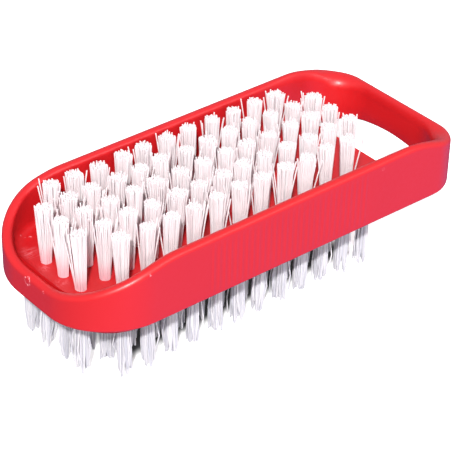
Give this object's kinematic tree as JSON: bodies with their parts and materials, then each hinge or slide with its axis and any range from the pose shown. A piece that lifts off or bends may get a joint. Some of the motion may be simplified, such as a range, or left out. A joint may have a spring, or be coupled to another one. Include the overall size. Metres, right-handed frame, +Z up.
{
  "type": "nail brush",
  "caption": "Double-sided nail brush: a moulded body with a ribbed grip band round the deck, bristle tufts on both faces and a finger loop past the end.",
  "frame": {"origin": "centre of the bounding box's footprint, on the plane of the lower bristle tips", "axes": "+X along the brush towards the loop, +Z up, out of the face that the band surrounds"},
  "size_m": [0.096, 0.04, 0.033],
  "materials": {
    "body_plastic": "satin injection moulding with fine vertical grip ribs",
    "bristle_nylon": "translucent white filament",
    "anchor_metal": "plain flat wire"
  },
  "bodies": {
    "root": {"body": "body_plastic", "top_tufts_row_1": "bristle_nylon", "top_tufts_row_2": "bristle_nylon", "top_tufts_row_3": "bristle_nylon", "top_tufts_row_4": "bristle_nylon", "top_tufts_row_5": "bristle_nylon", "bottom_tufts_row_1": "bristle_nylon", "bottom_tufts_row_2": "bristle_nylon", "bottom_tufts_row_3": "bristle_nylon", "bottom_tufts_row_4": "bristle_nylon", "bottom_tufts_row_5": "bristle_nylon", "top_anchors_row_1": "anchor_metal", "top_anchors_row_2": "anchor_metal", "top_anchors_row_3": "anchor_metal", "top_anchors_row_4": "anchor_metal", "top_anchors_row_5": "anchor_metal", "bottom_anchors_row_1": "anchor_metal", "bottom_anchors_row_2": "anchor_metal", "bottom_anchors_row_3": "anchor_metal", "bottom_anchors_row_4": "anchor_metal", "bottom_anchors_row_5": "anchor_metal"}
  },
  "joints": []
}
